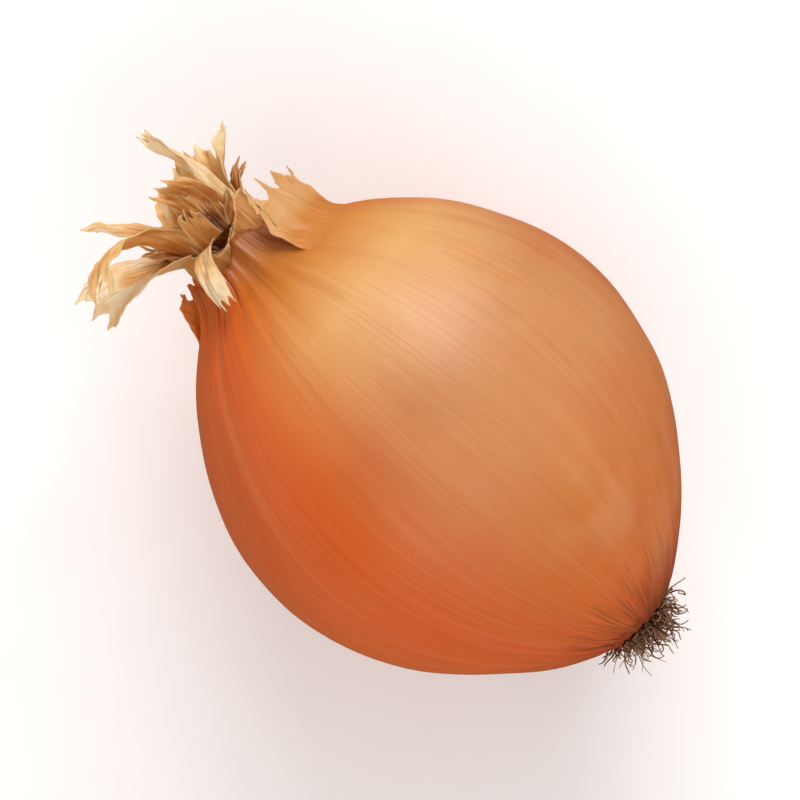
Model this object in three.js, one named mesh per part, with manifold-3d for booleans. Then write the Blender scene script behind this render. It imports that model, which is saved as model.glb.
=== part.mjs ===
// A brown onion lying on its side: the bulb in its papery skin, the dry neck with its torn leaf ends,
// and the tuft of dry roots. Millimetres, +Z up, origin in the middle of the flat spot it rests on.
// Each piece is first made upright, with its axis on Y and the root plate at y = 0, and the group
// `lying` then turns the onion over, so that the axis runs along +X with the neck a little raised.

import * as THREE from "three";
import { mergeVertices } from "three/addons/utils/BufferGeometryUtils.js";
import Module from "manifold-3d";

const wasm = await Module();
wasm.setup();

// Driving dimensions, in millimetres and degrees
const bulbDiameter = 64;
const bulbLength = 75; // root plate to the base of the neck
const neckDiameter = 13;
const neckLength = 6; // the bare stub between the bulb and the mouth
const rootPlateDiameter = 8;
const neckLift = 6; // how far the axis points up from the level
const restCut = 1; // depth of the flat spot
const gap = 0.3; // between two pieces

// Relief of the bulb
const ribCount = 40;
const ribRelief = 0.25;
const lobeRelief = 0.5;
const skinRelief = 0.5;
const skinEdge = 2.4; // where the outermost skin is torn off, from the root plate
const skinRagged = 0.9;
const wallRings = 40;
const spanSteps = 8; // of the wall's curve, from one point of the outline to the next

// Neck stub
const throatDepth = 10;
const mouthDepth = 8;
const mouthDip = 3.5; // the mouth is torn lower on its upper side
const stubWall = 1.5;
const stubSides = 32;
const stubRings = 6;
const stubWrinkles = 7;
const wrinkleRelief = 0.45;

// Papery leaf ends and skin lobes
const leafThickness = 0.7;
const leafStepsAcross = 4;
const leafStepsAhead = 8;
const leafTeeth = 4.5;
const leafCrinkle = 0.5;

// Roots
const rootCount = 54;
const rootSeed = 21;
const rootThickness = 0.9;
const rootTip = 0.5;
const rootShortest = 3;
const rootLongest = 7.5;
const rootSides = 3;
const rootSteps = 6;
const rootLegs = 4; // between the points of a root's curve
const rootSpread = 30; // lean of the outermost roots away from the axis
const rootWander = 65; // how far a root may turn from one leg to the next
const plateSides = 24;
const dishFloor = 3; // of the hollow in the bulb that holds the root plate
const goldenTurn = 137.5;

// Points that pull the half outline of the bulb towards them, as shares of its length and of its radius,
// root end first
const bulbOutline = [
  [0.016, 0.2],
  [0.07, 0.41],
  [0.17, 0.665],
  [0.3, 0.885],
  [0.44, 0.995],
  [0.57, 1.01],
  [0.7, 0.935],
  [0.82, 0.785],
  [0.92, 0.575],
  [0.97, 0.385],
  [1.0, 0.29],
  [1.04, 0.25],
];

const radians = THREE.MathUtils.degToRad;
const bulbRadius = bulbDiameter / 2;
const neckRadius = neckDiameter / 2;
const plateRadius = rootPlateDiameter / 2;
const lift = radians(neckLift);

// Half outline as a cubic B-spline, whose bend changes evenly from end to end. The first and the last point
// count three times, so that the curve starts and ends on them.
function wallCurve() {
  const points = bulbOutline.map(([along, out]) => new THREE.Vector2(out * bulbRadius, along * bulbLength));
  const pulls = [points[0], points[0], ...points, points.at(-1), points.at(-1)];
  const drawn = [];
  for (let span = 0; span + 3 < pulls.length; span++) {
    for (let step = 0; step < spanSteps; step++) {
      const share = step / spanSteps;
      const rest = 1 - share;
      const weights = [
        rest ** 3,
        3 * share ** 3 - 6 * share ** 2 + 4,
        3 * rest ** 3 - 6 * rest ** 2 + 4,
        share ** 3,
      ];
      const point = new THREE.Vector2();
      weights.forEach((weight, k) => point.addScaledVector(pulls[span + k], weight / 6));
      drawn.push(point);
    }
  }
  drawn.push(points.at(-1));
  return new THREE.SplineCurve(drawn);
}

const bulbWall = wallCurve().getSpacedPoints(wallRings);
const collar = bulbWall.at(-1).y;
const mouth = collar + neckLength;

// Leaf ends that leave the neck, each from its bearing round the axis: 0 is the upper side when the onion
// lies, and the turn goes on to 90 on its right-hand side, seen from the root end.
// lean is the angle away from the axis at the foot, bend is the turn along the leaf, sway moves its tip
// sideways, twist turns it about its own line, curl rolls its edges, and torn is the depth of the rips in
// its end as a share of its length.
const stubFoot = { radius: neckRadius - stubWall / 2, along: mouth - 3 };
const leaves = [
  { bearing: 58, width: 5, length: 18, lean: 4, bend: -14, sway: -4, twist: -35,
    curl: 2, taper: 0.35, torn: 0.14 },
  { bearing: -42, width: 5.5, length: 25, lean: 4, bend: 140, sway: -2, twist: 15,
    curl: 1.2, taper: 0.2, torn: 0.15 },
  { bearing: -82, width: 8, length: 17, lean: 46, bend: 50, sway: 1, twist: 70,
    curl: -1, taper: -0.15, torn: 0.2 },
  { bearing: -20, width: 3.5, length: 14, lean: 80, bend: 100, sway: -1, twist: 10,
    curl: 0.8, taper: 0.4, torn: 0.15 },
  { bearing: 20, width: 6, length: 13, lean: 8, bend: 40, sway: -5, twist: 0,
    curl: 1.2, taper: 0.3, torn: 0.2 },
  { bearing: 112, width: 5.5, length: 14, lean: 10, bend: 62, sway: 1, twist: 20,
    curl: -0.8, taper: 0.5, torn: 0.2 },
  { bearing: 144, width: 8, length: 15, lean: 8, bend: 50, sway: 2, twist: -20,
    curl: 1.2, taper: 0.35, torn: 0.2 },
  { bearing: 182, width: 9, length: 14, lean: 6, bend: 62, sway: -2, twist: 15,
    curl: -1, taper: 0.35, torn: 0.2 },
  { bearing: -135, width: 7, length: 17, lean: 8, bend: 36, sway: 3, twist: -30,
    curl: 1.4, taper: 0.4, torn: 0.2 },
  { bearing: -12, width: 5, length: 10, lean: 4, bend: 24, sway: 2, twist: 0,
    curl: 1, taper: 0.3, torn: 0.25 },
];

// Loose lobes of the outermost skin, which stand off the bulb's shoulder round the neck
const shoulderFoot = { radius: 17.9, along: 68 };
const lobes = [
  { bearing: 61, width: 20, length: 17, lean: -50, bend: 55, sway: 1, twist: 0,
    curl: -1, taper: 0.4, torn: 0.22 },
  { bearing: 140, width: 18, length: 14, lean: -52, bend: 40, sway: -2, twist: 0,
    curl: 1, taper: 0.6, torn: 0.2 },
  { bearing: 210, width: 20, length: 15, lean: -52, bend: 45, sway: 1, twist: 0,
    curl: -1, taper: 0.55, torn: 0.2 },
];

// Solids for joining and cutting: shared vertices are merged and collapsed triangles dropped first
function toSolid(geometry) {
  const bare = geometry.clone();
  bare.deleteAttribute("normal");
  bare.deleteAttribute("uv");
  const merged = mergeVertices(bare);
  const corners = merged.index.array;
  const kept = [];
  for (let i = 0; i < corners.length; i += 3) {
    const triangle = corners.slice(i, i + 3);
    if (new Set(triangle).size === 3) kept.push(...triangle);
  }
  const vertProperties = merged.attributes.position.array;
  return new wasm.Manifold(new wasm.Mesh({ numProp: 3, vertProperties, triVerts: new Uint32Array(kept) }));
}

function toGeometry(solid) {
  const mesh = solid.getMesh();
  const geometry = new THREE.BufferGeometry();
  geometry.setAttribute("position", new THREE.BufferAttribute(mesh.vertProperties, 3));
  geometry.setIndex(new THREE.BufferAttribute(mesh.triVerts, 1));
  geometry.computeVertexNormals();
  return geometry;
}

// Gives every vertex of a turned piece a new radius and height by a rule of its bearing and profile ring
function reshape(lathe, ringCount, rule) {
  const position = lathe.attributes.position;
  for (let i = 0; i < position.count; i++) {
    const bearing = Math.atan2(position.getX(i), position.getZ(i));
    const radius = Math.hypot(position.getX(i), position.getZ(i));
    const shaped = rule(bearing, radius, position.getY(i), i % ringCount);
    position.setXYZ(i, shaped.radius * Math.sin(bearing), shaped.along, shaped.radius * Math.cos(bearing));
  }
  return lathe;
}

function skinOver(bearing, along) {
  const ragged = Math.sin(3 * bearing + 1) + 0.6 * Math.sin(7 * bearing) + 0.4 * Math.sin(13 * bearing + 2);
  return along > skinEdge + (skinRagged * ragged) / 2 ? skinRelief : 0;
}

// Radius of the bulb with its slow swellings and the thickness of the outermost skin
function skinRadius(bearing, radius, along) {
  const swell = lobeRelief * (Math.cos(2 * bearing + 0.7) + 0.6 * Math.cos(3 * bearing + 2.1));
  return radius * (1 + (swell + skinOver(bearing, along)) / bulbRadius);
}

function collarTear(bearing) {
  return 0.9 * Math.sin(4 * bearing + 0.5) + 0.5 * Math.sin(9 * bearing);
}

function bulbBody() {
  const throat = neckRadius + gap;
  const profile = [
    new THREE.Vector2(0, dishFloor),
    new THREE.Vector2(plateRadius + gap, dishFloor),
    ...bulbWall,
    new THREE.Vector2(throat, collar),
    new THREE.Vector2(throat, collar - throatDepth),
    new THREE.Vector2(0, collar - throatDepth),
  ];
  const wallStart = 2;
  const wallEnd = wallStart + wallRings;
  const lathe = new THREE.LatheGeometry(profile, 2 * ribCount);
  return reshape(lathe, profile.length, (bearing, radius, along, ring) => {
    if (ring === wallEnd || ring === wallEnd + 1) return { radius, along: along + collarTear(bearing) };
    if (ring < wallStart || ring > wallEnd) return { radius, along };
    const rib = (ribRelief * Math.cos(ribCount * bearing) * radius) / bulbRadius;
    return { radius: skinRadius(bearing, radius, along) + rib, along };
  });
}

function stubBody() {
  const foot = collar - throatDepth + gap;
  const outside = [];
  for (let ring = 0; ring <= stubRings; ring++) {
    outside.push(new THREE.Vector2(neckRadius, THREE.MathUtils.lerp(collar - 1, mouth, ring / stubRings)));
  }
  const profile = [
    new THREE.Vector2(0, foot),
    new THREE.Vector2(neckRadius, foot),
    ...outside,
    new THREE.Vector2(neckRadius - stubWall, mouth),
    new THREE.Vector2(neckRadius - 2 * stubWall, mouth - mouthDepth),
    new THREE.Vector2(0, mouth - mouthDepth),
  ];
  const outsideStart = 2;
  const lip = outsideStart + stubRings;
  const lathe = new THREE.LatheGeometry(profile, stubSides);
  return reshape(lathe, profile.length, (bearing, radius, along, ring) => {
    const rise = THREE.MathUtils.clamp((along - collar) / neckLength, 0, 1);
    if (ring < outsideStart || ring > lip + 1) return { radius, along };
    const wrinkle = wrinkleRelief * Math.cos(stubWrinkles * bearing + 2 * rise);
    const dip = mouthDip * Math.max(0, Math.cos(bearing)) ** 2;
    return { radius: radius + wrinkle * rise, along: along - rise * rise * dip };
  });
}

// Point of a leaf at `across` from -1 to 1 over its width and `ahead` from 0 to 1 along it
function leafPoint(leaf, foot, across, ahead) {
  const rip = leaf.torn * Math.abs(Math.sin(leafTeeth * across + leaf.bearing));
  const run = ahead * (1 - rip);
  const lean = radians(leaf.lean);
  const bend = radians(leaf.bend);
  const turn = lean + bend * run;
  const arcRadius = leaf.length / bend;
  const half = (across * leaf.width * (1 - leaf.taper * run * run)) / 2;
  const wrap = (-half * half * (1 - run)) / (2 * foot.radius);
  const crinkle = leafCrinkle * Math.sin(4 * across + 7 * run + leaf.bearing);
  const rise = wrap + run * (leaf.curl * across * across + crinkle);
  const twist = radians(leaf.twist) * run;
  const off = half * Math.sin(twist) + rise * Math.cos(twist);
  const out = foot.radius + arcRadius * (Math.cos(lean) - Math.cos(turn)) + off * Math.cos(turn);
  const up = foot.along + arcRadius * (Math.sin(turn) - Math.sin(lean)) - off * Math.sin(turn);
  const side = half * Math.cos(twist) - rise * Math.sin(twist) + leaf.sway * run * run;
  const bearing = radians(leaf.bearing);
  return new THREE.Vector3(
    out * Math.sin(bearing) + side * Math.cos(bearing),
    up,
    out * Math.cos(bearing) - side * Math.sin(bearing),
  );
}

// A thin closed sheet over a surface, split into triangles alike on both faces
function thickSheet(pointAt) {
  const sheet = new THREE.PlaneGeometry(2, 1, leafStepsAcross, leafStepsAhead);
  const position = sheet.attributes.position;
  for (let i = 0; i < position.count; i++) {
    const point = pointAt(position.getX(i), position.getY(i) + 0.5);
    position.setXYZ(i, point.x, point.y, point.z);
  }
  sheet.computeVertexNormals();
  const front = [];
  const back = [];
  for (let i = 0; i < position.count; i++) {
    const middle = new THREE.Vector3().fromBufferAttribute(position, i);
    const normal = new THREE.Vector3().fromBufferAttribute(sheet.attributes.normal, i);
    front.push(...middle.clone().addScaledVector(normal, leafThickness / 2));
    back.push(...middle.clone().addScaledVector(normal, -leafThickness / 2));
  }
  const row = leafStepsAcross + 1;
  const last = leafStepsAhead * row;
  const rim = [];
  for (let i = 0; i < leafStepsAcross; i++) rim.push(i);
  for (let i = 0; i < leafStepsAhead; i++) rim.push(i * row + leafStepsAcross);
  for (let i = leafStepsAcross; i > 0; i--) rim.push(last + i);
  for (let i = leafStepsAhead; i > 0; i--) rim.push(i * row);
  const corners = Array.from(sheet.index.array);
  const other = position.count;
  for (let i = sheet.index.count - 3; i >= 0; i -= 3) {
    corners.push(corners[i] + other, corners[i + 2] + other, corners[i + 1] + other);
  }
  rim.forEach((here, i) => {
    const next = rim[(i + 1) % rim.length];
    corners.push(here, next, next + other, here, next + other, here + other);
  });
  const closed = new THREE.BufferGeometry();
  closed.setAttribute("position", new THREE.Float32BufferAttribute([...front, ...back], 3));
  closed.setIndex(corners);
  return closed;
}

function leafSolid(leaf, foot) {
  return toSolid(thickSheet((across, ahead) => leafPoint(leaf, foot, across, ahead)));
}

// A tapering root: a thin cone bent along its curve
function rootSolid(path) {
  const strand = new THREE.CylinderGeometry(rootTip / 2, rootThickness / 2, 1, rootSides, rootSteps);
  const frames = path.computeFrenetFrames(rootSteps);
  const position = strand.attributes.position;
  for (let i = 0; i < position.count; i++) {
    const step = Math.round((position.getY(i) + 0.5) * rootSteps);
    const point = path.getPointAt(step / rootSteps);
    point.addScaledVector(frames.normals[step], position.getX(i));
    point.addScaledVector(frames.binormals[step], -position.getZ(i));
    position.setXYZ(i, point.x, point.y, point.z);
  }
  return toSolid(strand);
}

function rootPaths() {
  THREE.MathUtils.seededRandom(rootSeed);
  const random = () => THREE.MathUtils.seededRandom();
  const paths = [];
  for (let i = 0; i < rootCount; i++) {
    const share = Math.sqrt((i + 0.5) / rootCount);
    const bearing = radians(i * goldenTurn);
    const outward = new THREE.Vector3(Math.sin(bearing), 0, Math.cos(bearing));
    const lean = radians(rootSpread * share);
    const heading = new THREE.Vector3(0, -Math.cos(lean), 0).addScaledVector(outward, Math.sin(lean));
    const leg = THREE.MathUtils.lerp(rootShortest, rootLongest, random() ** 3) / rootLegs;
    const point = outward.clone().multiplyScalar(0.85 * plateRadius * share);
    point.y = dishFloor / 2;
    const points = [point.clone()];
    for (let step = 0; step < rootLegs; step++) {
      point.addScaledVector(heading, leg);
      point.y = Math.min(point.y, 0);
      points.push(point.clone());
      const axis = new THREE.Vector3(random() - 0.5, random() - 0.5, random() - 0.5).normalize();
      heading.applyAxisAngle(axis, radians(rootWander * (2 * random() - 1)));
    }
    paths.push(new THREE.CatmullRomCurve3(points));
  }
  return paths;
}

function plateBody() {
  const profile = [
    new THREE.Vector2(0, 0),
    new THREE.Vector2(0.7 * plateRadius, 0.1 * dishFloor),
    new THREE.Vector2(plateRadius, 0.4 * dishFloor),
    new THREE.Vector2(plateRadius, dishFloor - gap),
    new THREE.Vector2(0, dishFloor - gap),
  ];
  return new THREE.LatheGeometry(profile, plateSides);
}

// Lowest point of the bulb's underside once the onion lies with its neck raised
function lowestPoint() {
  const underside = bulbWall.map((point) => {
    const radius = skinRadius(Math.PI, point.x, point.y);
    const height = point.y * Math.sin(lift) - radius * Math.cos(lift);
    return { height, along: point.y * Math.cos(lift) + radius * Math.sin(lift) };
  });
  return underside.reduce((low, point) => (point.height < low.height ? point : low));
}

const lowest = lowestPoint();
const lying = new THREE.Group();
lying.rotation.set(0, -lift, -Math.PI / 2);
lying.position.set(-lowest.along, 0, -lowest.height - restCut);
lying.updateMatrix();

// Everything below the level z = 0, in the onion's own upright frame
function belowLevel() {
  const block = new THREE.BoxGeometry(2 * bulbLength, 2 * bulbLength, bulbLength);
  block.translate(0, 0, -bulbLength / 2);
  return toSolid(block.applyMatrix4(lying.matrix.clone().invert()));
}

const bulb = lobes
  .reduce((body, lobe) => body.add(leafSolid(lobe, shoulderFoot)), toSolid(bulbBody()))
  .subtract(belowLevel());
const dryNeck = leaves.reduce((body, leaf) => body.add(leafSolid(leaf, stubFoot)), toSolid(stubBody()));
const rootTuft = rootPaths().reduce((body, path) => body.add(rootSolid(path)), toSolid(plateBody()));

function piece(name, solid, color, roughness) {
  const material = new THREE.MeshStandardMaterial({ color, roughness, metalness: 0 });
  const mesh = new THREE.Mesh(toGeometry(solid), material);
  mesh.name = name;
  return mesh;
}

lying.add(
  piece("bulb", bulb, 0xd98a50, 0.42),
  piece("dry_neck", dryNeck, 0xcf9a5c, 0.7),
  piece("root_tuft", rootTuft, 0x8a5a3c, 0.9),
);

const onion = new THREE.Group();
onion.name = "onion";
onion.add(lying);

export default onion;
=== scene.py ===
# %% [markdown]
# # A brown onion in its papery skin
# An onion is a bulb: a short stem, called the root plate, with thick leaf bases wrapped round it.
# The outermost bases dry to thin, satin skins, the tops of the leaves wither into a torn neck, and
# the roots dry to a wiry tuft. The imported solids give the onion's place and size. This lesson
# dresses them with pieces that are fine enough to look at closely, and each new piece stands where
# the solid is that it replaces.

# %% Load the solids as a fixed frame
import math
from functools import partial

import bpy
import numpy as np
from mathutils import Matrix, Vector
from mathutils.bvhtree import BVHTree


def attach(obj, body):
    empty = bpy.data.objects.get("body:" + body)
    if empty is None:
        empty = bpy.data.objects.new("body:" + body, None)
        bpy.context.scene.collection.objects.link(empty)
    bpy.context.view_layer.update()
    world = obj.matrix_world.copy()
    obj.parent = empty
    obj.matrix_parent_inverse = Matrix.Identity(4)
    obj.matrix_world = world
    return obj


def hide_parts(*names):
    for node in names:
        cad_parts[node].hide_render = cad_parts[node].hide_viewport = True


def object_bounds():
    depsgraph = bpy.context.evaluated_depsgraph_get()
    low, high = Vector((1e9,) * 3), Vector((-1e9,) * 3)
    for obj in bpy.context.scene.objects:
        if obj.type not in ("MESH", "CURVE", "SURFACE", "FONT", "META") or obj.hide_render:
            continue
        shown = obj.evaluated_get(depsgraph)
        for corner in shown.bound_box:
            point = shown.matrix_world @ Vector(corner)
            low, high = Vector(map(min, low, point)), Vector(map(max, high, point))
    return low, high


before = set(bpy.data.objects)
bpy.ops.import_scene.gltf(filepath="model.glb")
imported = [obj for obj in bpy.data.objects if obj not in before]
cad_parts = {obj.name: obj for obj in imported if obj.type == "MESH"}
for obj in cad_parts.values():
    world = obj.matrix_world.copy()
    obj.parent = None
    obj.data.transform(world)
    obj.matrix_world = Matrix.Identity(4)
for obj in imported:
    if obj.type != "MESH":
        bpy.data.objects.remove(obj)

cad_low, cad_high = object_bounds()
print("Solids in the frame:", sorted(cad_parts))
print("Box of the solids in mm:", [round(1000 * side, 1) for side in cad_high - cad_low])

# %% [markdown]
# ## Sizes, and laying the onion down
# An onion is easiest to describe upright, as height and radius round its own axis, but it lies on
# its side. So every piece is worked out upright in millimetres, with the root plate at height 0,
# and one function then lays it down in metres. A bearing of 0 is the side that ends up on top, and
# 90 degrees is the right-hand side, seen from the root end.

# %% Driving dimensions in millimetres and degrees
BULB_RADIUS = 32
BULB_LENGTH = 75
NECK_RADIUS = 6.5
NECK_LENGTH = 6
PLATE_RADIUS = 4
DISH_FLOOR = 3
THROAT_DEPTH = 10
NECK_LIFT = math.radians(6)
REST_CUT = 1
GAP = 0.3
SKIN_RELIEF = 0.5
LOBE_RELIEF = 0.5
MM = 0.001

# Points that pull the half outline of the bulb towards them, as shares of its length and radius,
# root end first
OUTLINE_SHARES = np.array([
    (0.016, 0.2), (0.07, 0.41), (0.17, 0.665), (0.3, 0.885), (0.44, 0.995), (0.57, 1.01),
    (0.7, 0.935), (0.82, 0.785), (0.92, 0.575), (0.97, 0.385), (1.0, 0.29), (1.04, 0.25),
])
SOLID_RINGS = 40
FINE_RINGS = 1200
SPAN_STEPS = 80


def smooth_outline(points, steps):
    """Evenly spaced points on a cubic B-spline, which the given points pull towards them."""
    pulls = np.vstack([points[:1], points[:1], points, points[-1:], points[-1:]])
    share = np.linspace(0, 1, SPAN_STEPS, endpoint=False)[:, None]
    rest = 1 - share
    leaving = 3 * share**3 - 6 * share**2 + 4
    arriving = 3 * rest**3 - 6 * rest**2 + 4
    spans = []
    for before, start, end, after in zip(pulls, pulls[1:], pulls[2:], pulls[3:]):
        spans.append((before * rest**3 + start * leaving + end * arriving + after * share**3) / 6)
    curve = np.vstack([*spans, points[-1:]])
    reach = np.concatenate([[0], np.cumsum(np.linalg.norm(np.diff(curve, axis=0), axis=1))])
    even = np.linspace(0, reach[-1], steps + 1)
    return np.column_stack([np.interp(even, reach, curve[:, k]) for k in (0, 1)])


def swollen(bearing, radius, relief=0.0):
    """Radius of the bulb with its slow swellings and the relief of the outermost skin."""
    swell = LOBE_RELIEF * (np.cos(2 * bearing + 0.7) + 0.6 * np.cos(3 * bearing + 2.1))
    return radius * (1 + (swell + relief) / BULB_RADIUS)


outline = OUTLINE_SHARES * (BULB_LENGTH, BULB_RADIUS)
solid_wall = smooth_outline(outline, SOLID_RINGS)
under_radius = swollen(math.pi, solid_wall[:, 1], SKIN_RELIEF)
under_height = solid_wall[:, 0] * math.sin(NECK_LIFT) - under_radius * math.cos(NECK_LIFT)
under_place = solid_wall[:, 0] * math.cos(NECK_LIFT) + under_radius * math.sin(NECK_LIFT)
lowest = under_height.argmin()
PLACE = np.array([-under_place[lowest], 0, -under_height[lowest] - REST_CUT])


def upright(bearing, radius, along):
    """Upright points from bearing, radius and height on the axis."""
    return np.stack([radius * np.sin(bearing), along, radius * np.cos(bearing)], axis=-1)


def lay_down(points):
    """Turns upright points in millimetres into points of the lying onion in metres."""
    x, y, z = np.moveaxis(points, -1, 0)
    ahead = y * math.cos(NECK_LIFT) - z * math.sin(NECK_LIFT)
    above = y * math.sin(NECK_LIFT) + z * math.cos(NECK_LIFT)
    return (np.stack([ahead, -x, above], axis=-1) + PLACE) * MM


print("The upright onion's origin goes to, in mm:", PLACE.round(2))

# %% [markdown]
# ## Helpers for meshes
# All pieces here start as grids of points that follow a rule, so few helpers are enough: one
# numbers the faces of a grid, and one makes an object of points and faces and stores what its
# material needs as attributes. Attributes ride on the vertices, so a pattern that reads them
# follows the surface wherever it bends. Dry skin tears in short straight runs, and "ragged" draws
# such an edge from a fixed seed.


# %% Grids, pieces and torn edges
def grid_faces(rows, columns, closed, start=0):
    """Four-cornered faces of a grid whose points are numbered row by row."""
    row = np.arange(rows - 1)[:, None] * columns
    here = np.arange(columns if closed else columns - 1)
    after = (here + 1) % columns
    corners = np.stack([row + here, row + after, row + columns + after, row + columns + here], axis=-1)
    return (corners.reshape(-1, 4) + start).tolist()


def make_piece(name, points, faces, material, **attributes):
    """A smooth object at the origin from points in metres, with numbers or vectors on its vertices."""
    mesh = bpy.data.meshes.new(name)
    mesh.from_pydata(points.reshape(-1, 3).tolist(), [], faces)
    mesh.shade_smooth()
    mesh.materials.append(material)
    for key, values in attributes.items():
        values = np.asarray(values, np.float32)
        vector = values.ndim == 2
        attribute = mesh.attributes.new(key, "FLOAT_VECTOR" if vector else "FLOAT", "POINT")
        attribute.data.foreach_set("vector" if vector else "value", values.ravel())
    piece = bpy.data.objects.new(name, mesh)
    bpy.context.scene.collection.objects.link(piece)
    return piece


def stand_for(piece, node):
    """Puts a piece on the one rigid body and hides the solid that it stands for."""
    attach(piece, "root")
    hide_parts(node)


def ragged(place, count, seed, period=None):
    """A torn edge: straight runs between points at random places and heights, from -1 to 1."""
    chance = np.random.default_rng(seed)
    knots = np.sort(chance.uniform(0, period or 1, count))
    return np.interp(place, knots, chance.uniform(-1, 1, count), period=period)


print("Mesh helpers: grid_faces, make_piece, stand_for, ragged")

# %% [markdown]
# ## Helpers for node trees
# Materials and geometry are both built from nodes. One function adds a node, gives it its settings,
# and links or fills its inputs; it hands back the output that the next node needs. Colours are
# written as hex values, the way a colour picker shows them, and one function turns them into the
# linear light that Blender mixes in. A painter would build such a skin from thin coats of colour,
# and "glaze" does the same: each coat shows where its pattern is strong.


# %% Nodes, colours and coats
def add_node(tree, kind, inputs=None, out=0, stops=(), **settings):
    """Adds a node with its settings, links or fills its inputs, and gives one of its outputs."""
    node = tree.nodes.new(kind)
    for name, value in settings.items():
        setattr(node, name, value)
    for socket, value in (inputs or {}).items():
        if isinstance(value, bpy.types.NodeSocket):
            tree.links.new(value, node.inputs[socket])
        else:
            node.inputs[socket].default_value = value
    for place, colour in stops:
        ends = node.color_ramp.elements
        stop = ends[0] if place == 0 else ends[-1] if place == 1 else ends.new(place)
        stop.color = linear(colour)
    return node.outputs[out] if node.outputs else None


def linear(hex_colour):
    """An sRGB hex colour as linear red, green, blue and alpha."""
    parts = [int(hex_colour[k : k + 2], 16) / 255 for k in (1, 3, 5)]
    return [p / 12.92 if p <= 0.04045 else ((p + 0.055) / 1.055) ** 2.4 for p in parts] + [1.0]


def streaks(tree, grain, width, length, detail=3.0):
    """A pattern of streaks of a width and length in millimetres, along the third way of grain."""
    size = (1 / (width * MM), 1 / (width * MM), 1 / (length * MM))
    place = add_node(tree, "ShaderNodeVectorMath", {0: grain, 1: size}, operation="MULTIPLY")
    return add_node(tree, "ShaderNodeTexNoise", {"Vector": place, "Scale": 1.0, "Detail": detail})


def glaze(tree, colour, coats):
    """Coats of colour over each other: pattern, where it starts and is full, strength and shade."""
    for pattern, start, full, strength, shade in coats:
        span = {0: pattern, 1: start, 2: full, 3: 0.0, 4: strength}
        amount = add_node(tree, "ShaderNodeMapRange", span, interpolation_type="SMOOTHSTEP")
        layers = {0: amount, 6: colour, 7: linear(shade)}
        colour = add_node(tree, "ShaderNodeMix", layers, 2, data_type="RGBA")
    return colour


def new_material(name):
    """A material with an empty node tree, and the tree."""
    material = bpy.data.materials.new(name)
    material.use_nodes = True
    material.node_tree.nodes.clear()
    return material, material.node_tree


def finish_material(tree, colour, roughness, height, relief, constants):
    """Ends a tree in one shader with a bump of that relief in metres; constants sit on its sockets."""
    bump = add_node(tree, "ShaderNodeBump", {"Height": height, "Distance": relief, "Strength": 1.0})
    inputs = {"Base Color": colour, "Roughness": roughness, "Normal": bump, **constants}
    shader = add_node(tree, "ShaderNodeBsdfPrincipled", inputs)
    add_node(tree, "ShaderNodeOutputMaterial", {"Surface": shader})


print("Node helpers: add_node, linear, streaks, glaze, new_material, finish_material")

# %% [markdown]
# ## The skin's finish
# Cured onion skin is a dried leaf base: thin, stiff and a little waxy, so it has a satin shine that
# a broad light turns to a soft peach glow. Its colour comes from brown pigment and runs in layers:
# red-brown at the roots, warm orange round the middle, pale on the shoulder, partly as a painted
# highlight, and ochre at the neck. One side is painted pale as if lit, and the rest deeper orange as
# painted shade. Blotches and long patches break the colour up, and skin that stands loose is as pale
# as straw. Fine veins run from root to neck and gather at both ends. A flat projection would cut
# across them, so the pattern reads "grain", a place stored on the surface, and its streaks meet at
# the two ends as the real veins do.

# %% Cured onion skin, satin
HAIRLINE_WIDTH = 0.35
HAIRLINE_LENGTH = 40
STREAK_WIDTH = 6
STREAK_LENGTH = 90
BLOTCH_SIZE = 16
PATCH_WIDTH = 11
PATCH_LENGTH = 45
STAIN_WIDTH = 0.6
STAIN_LENGTH = 10
FRECKLE_SPACING = 2.6
PUCKER_SIZE = 1.1
SKIN_BUMP = 0.035
# Bearing of the side that is painted pale, as if lit
PAINTED_LIGHT_BEARING = math.radians(35)


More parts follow.
